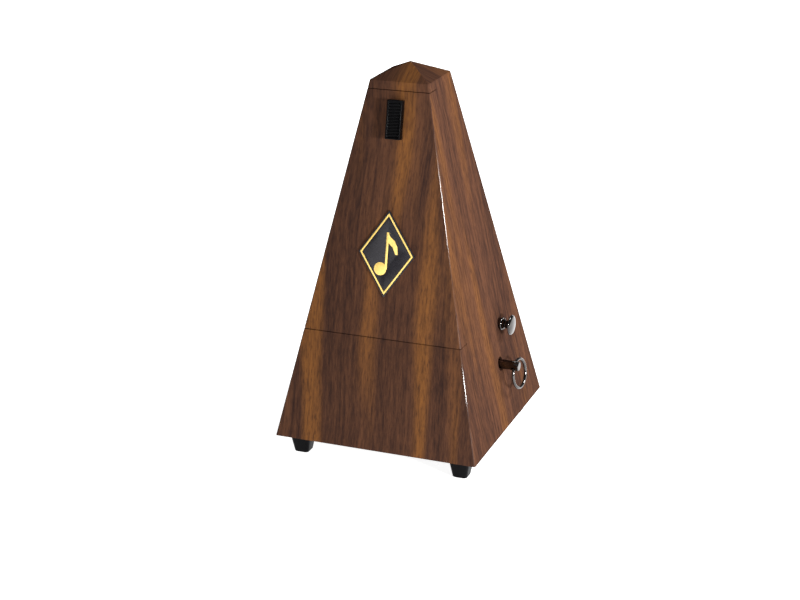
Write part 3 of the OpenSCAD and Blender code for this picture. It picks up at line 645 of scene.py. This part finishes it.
def split_ring():
    """The loose ring of the key: a drawn wire ring whose ends meet in a fine joint."""
    turn, lean = math.radians(38.5), math.radians(10)
    radius, wire, hole_inset = 8.3 * MM, 0.85 * MM, 3.1 * MM
    joint, joint_pinch = 0.35 * MM, 0.86
    low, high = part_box("winding_key")
    middle = Vector((high.x - hole_inset, (low.y + high.y) / 2, (low.z + high.z) / 2))
    bpy.ops.mesh.primitive_torus_add(major_segments=128, minor_segments=28, major_radius=radius,
                                     minor_radius=wire)
    piece = named("key_wire_ring")
    editing(piece)
    pick(piece, "verts", lambda v: v.co.x > 0 and abs(v.co.y) < joint)
    bpy.ops.transform.resize(value=(1, 1, joint_pinch), center_override=(radius, 0, 0))
    finished()
    place = (Matrix.Translation(middle) @ Matrix.Rotation(turn, 4, "X") @ Matrix.Rotation(-lean, 4, "Y")
             @ Matrix.Translation((0, 0, -radius)) @ Matrix.Rotation(math.pi / 2, 4, "Y"))
    settle(piece, place)
    smooth(piece, 60)
    return fit(piece, shaded_nickel, "chrome", "key_ring")


split_ring()


# ---- Badge, weight and clip ------------------------------------------------------------


def eased(node, name, edge, finish, slot):
    """A copy of a node with its sharp edges rounded."""
    piece = copy_of(node, name)
    rounded(piece, edge * MM, 2, 40)
    return fit(piece, finish, slot, node)


eased("badge_plate", "badge_enamel_plate", 0.12, badge_enamel, "badge_black")
eased("badge_trim", "badge_gold", 0.06, stamped_gold, "gold_foil")
eased("sliding_weight", "eased_weight", 0.4, bright_steel, "steel")
eased("rod_clip", "eased_clip", 0.15, rolled_brass, "brass")
eased("pendulum_bob", "eased_bob", 0.5, rolled_brass, "brass")


# ---- Tempo scale ---------------------------------------------------------------------

INK = 0.06 * MM
TEMPI = [40, 42, 44, 46, 48, 50, 52, 54, 56, 58, 60, 63, 66, 69, 72, 76, 80, 84, 88, 92, 96, 100, 104,
         108, 112, 116, 120, 126, 132, 138, 144, 152, 160, 168, 176, 184, 192, 200, 208]


def figure(tempo, size):
    """A tempo's figures as a thin raised mesh about the origin."""
    bpy.ops.object.text_add()
    words = bpy.context.object
    words.data.body = str(tempo)
    words.data.size = size
    words.data.align_x = "CENTER"
    words.data.align_y = "CENTER"
    words.data.extrude = INK / 2
    only(words)
    bpy.ops.object.convert(target="MESH")
    return words


def printed_scale():
    """Figures and rules of the tempo scale, slow beats at the top, in alternate columns."""
    low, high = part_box("tempo_scale")
    length = (high.z - low.z) / math.cos(LEAN)
    depth, margin = 9.31 * MM, 4 * MM
    foot_half, taper = 15 * MM, 5.5 * MM
    figure_inset, rule_inset, rule_start, rule_width = 2.4 * MM, 6.2 * MM, 1.9 * MM, 0.16 * MM
    step = (length - 2 * margin) / (len(TEMPI) - 1)
    parts = []
    for index, tempo in enumerate(TEMPI):
        up = length - margin - index * step
        half = foot_half - taper * up / length
        side = -1 if index % 2 else 1
        rule = half - rule_inset
        middle = (side * (rule / 2 + rule_start), up, 0)
        parts.append(block(f"rule_{tempo}", (rule, rule_width, INK), middle))
        words = figure(tempo, 3.1 * MM)
        words.data.transform(Matrix.Translation((side * (half - figure_inset), up, 0)))
        parts.append(words)
    for part in parts:
        part.matrix_world = Matrix.Identity(4)
    joined(parts)
    piece = named("printed_scale")
    settle(piece, front_place(low.z + 0.05 * MM, -depth))
    return fit(piece, scale_ink, "black_plastic", body="case")


printed_scale()


# ---- Floor, light and camera -----------------------------------------------------------


def stage():
    """Plain white floor that glows a little, so that it stays even."""
    bpy.ops.mesh.primitive_plane_add(size=12)
    floor = named("floor")
    paper = bpy.data.materials.new("paper")
    paper.use_nodes = True
    shader = paper.node_tree.nodes["Principled BSDF"]
    shader.inputs["Base Color"].default_value = (0.94, 0.94, 0.94, 1)
    shader.inputs["Roughness"].default_value = 0.9
    shader.inputs["Emission Color"].default_value = (1, 1, 1, 1)
    shader.inputs["Emission Strength"].default_value = 0.85
    floor.data.materials.append(paper)


def soft_light(name, towards, distance, size, power):
    """A square studio light that faces the middle of the case."""
    lamp = bpy.data.lights.new(name, "AREA")
    lamp.energy = power
    lamp.shape = "RECTANGLE"
    lamp.size = lamp.size_y = size
    holder = bpy.data.objects.new(name, lamp)
    bpy.context.scene.collection.objects.link(holder)
    direction = Vector(towards).normalized()
    holder.location = Vector((0, 0, 0.1)) + direction * distance
    holder.rotation_euler = direction.to_track_quat("Z", "Y").to_euler()


def room():
    """The dim white room round the stage."""
    world = bpy.data.worlds.new("studio")
    world.use_nodes = True
    background = world.node_tree.nodes["Background"]
    background.inputs["Color"].default_value = (1, 1, 1, 1)
    background.inputs["Strength"].default_value = 0.2
    bpy.context.scene.world = world
    bpy.context.scene.view_settings.view_transform = "Standard"


def camera():
    """The camera, to the right of the front and a little above the case."""
    at = Vector((0.34285 + CASE_X, -0.88299, 0.42962))
    azimuth, elevation, roll = math.radians(21.62), math.radians(20.21), math.radians(-0.41)
    flat = math.cos(elevation)
    ahead = Vector((-math.sin(azimuth) * flat, math.cos(azimuth) * flat, -math.sin(elevation)))
    right = ahead.cross(Vector((0, 0, 1))).normalized()
    up = right.cross(ahead)
    across = math.cos(roll) * right + math.sin(roll) * up
    upward = math.cos(roll) * up - math.sin(roll) * right
    lens = bpy.data.cameras.new("camera")
    lens.lens = 79.29
    lens.sensor_width = 36
    lens.sensor_fit = "HORIZONTAL"
    lens.clip_start = 0.01
    holder = bpy.data.objects.new("camera", lens)
    turn = Matrix((across, upward, -ahead)).transposed().to_4x4()
    holder.matrix_world = Matrix.Translation(at) @ turn
    bpy.context.scene.collection.objects.link(holder)
    bpy.context.scene.camera = holder


stage()
# Towards the light, its distance and size in metres, and its watts
soft_light("key_light", (10, -5, 1.8), 1.3, 0.16, 19)
soft_light("front_fill", (-1, -10, 2), 1.6, 1.0, 4)
soft_light("side_light", (10, 4, 8), 1.5, 0.3, 19)
soft_light("back_light", (-6, 9, 5), 1.5, 0.8, 7)
room()
camera()
